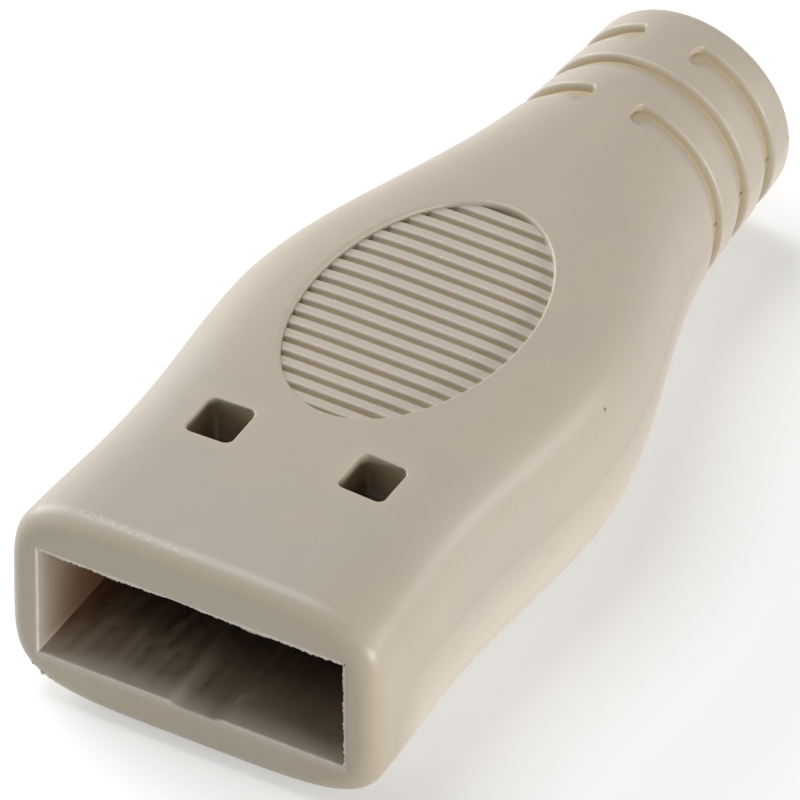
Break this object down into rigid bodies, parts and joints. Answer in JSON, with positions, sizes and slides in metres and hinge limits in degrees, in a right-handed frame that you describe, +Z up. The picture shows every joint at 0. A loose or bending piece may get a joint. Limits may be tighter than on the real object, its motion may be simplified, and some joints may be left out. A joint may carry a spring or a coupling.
{
  "type": "usb-a plug hood",
  "caption": "Moulded hood for a flat cable plug: rectangular pocket, latch windows, ribbed oval grip and a round cable sleeve with relief grooves.",
  "frame": {"origin": "centre of the footprint, on the surface it lies on", "axes": "+Z up through the ribbed panel, +Y from the mouth to the cable sleeve, +X across the mouth"},
  "size_m": [0.0148, 0.0344, 0.0089],
  "materials": {
    "hood": "soft beige moulded plastic, satin, with a fine parting line"
  },
  "bodies": {
    "root": {"hood": "hood"}
  },
  "joints": []
}
